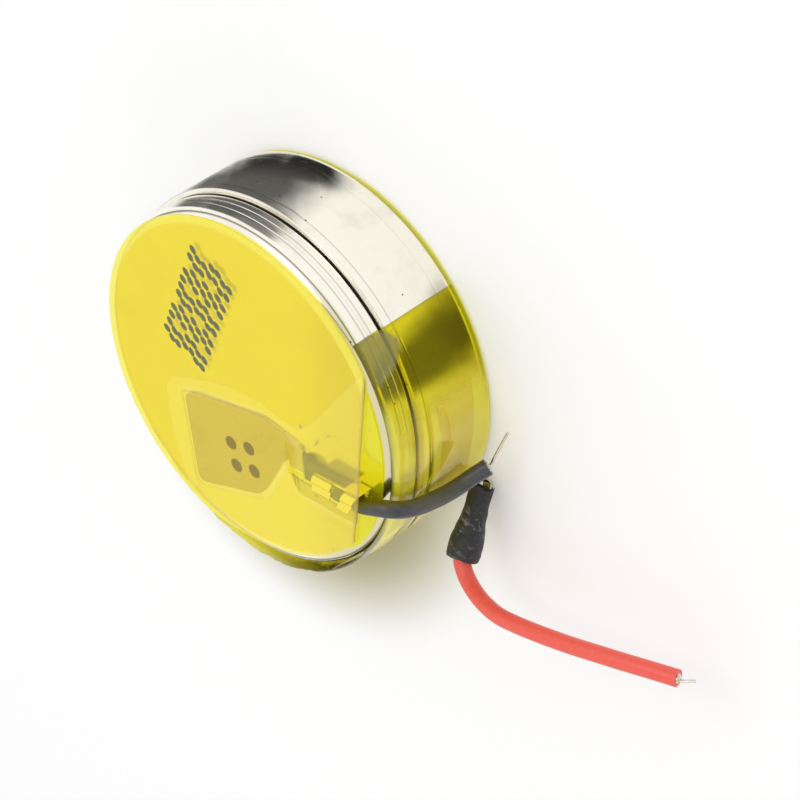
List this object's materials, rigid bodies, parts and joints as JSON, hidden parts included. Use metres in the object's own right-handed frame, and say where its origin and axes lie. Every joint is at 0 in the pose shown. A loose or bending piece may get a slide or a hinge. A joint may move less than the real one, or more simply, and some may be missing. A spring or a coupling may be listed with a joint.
{
  "type": "coin cell with leads",
  "caption": "Flat round rechargeable cell taped with clear yellow film, with a crimped black lead over its front rim and a sleeved red lead from its back.",
  "frame": {"origin": "centre of the back face, on the outer side of the back film", "axes": "+Z runs out of the front face, which carries the negative tab; +X points to the side where both leads leave the cell; +Y completes a right-handed frame"},
  "size_m": [0.0287, 0.0167, 0.0067],
  "materials": {
    "nickel_plate": "smooth bright nickel plate",
    "seal": "moulded, dark",
    "winding": "rolled foil and separator",
    "insulator": "plain sheet",
    "aluminium_foil": "plain foil",
    "copper_foil": "plain foil",
    "yellow_film": "clear yellow, glossy",
    "nickel_sheet": "plain nickel sheet",
    "black_insulation": "extruded, satin",
    "red_insulation": "extruded, satin",
    "tinned_strands": "tinned copper",
    "solder": "bright",
    "sleeve": "shrunk, dull"
  },
  "bodies": {
    "root": {"can": "nickel_plate", "lid": "nickel_plate", "seal": "seal", "electrode_winding": "winding", "back_insulator": "insulator", "front_insulator": "insulator", "positive_foil": "aluminium_foil", "negative_foil": "copper_foil", "back_film": "yellow_film", "under_film": "yellow_film", "front_film": "yellow_film", "wrap_film": "yellow_film", "positive_tab": "nickel_sheet", "negative_tab": "nickel_sheet", "black_insulation": "black_insulation", "black_strands": "tinned_strands", "red_insulation": "red_insulation", "red_strands": "tinned_strands", "solder_joint": "solder", "heat_shrink_sleeve": "sleeve"}
  },
  "joints": []
}
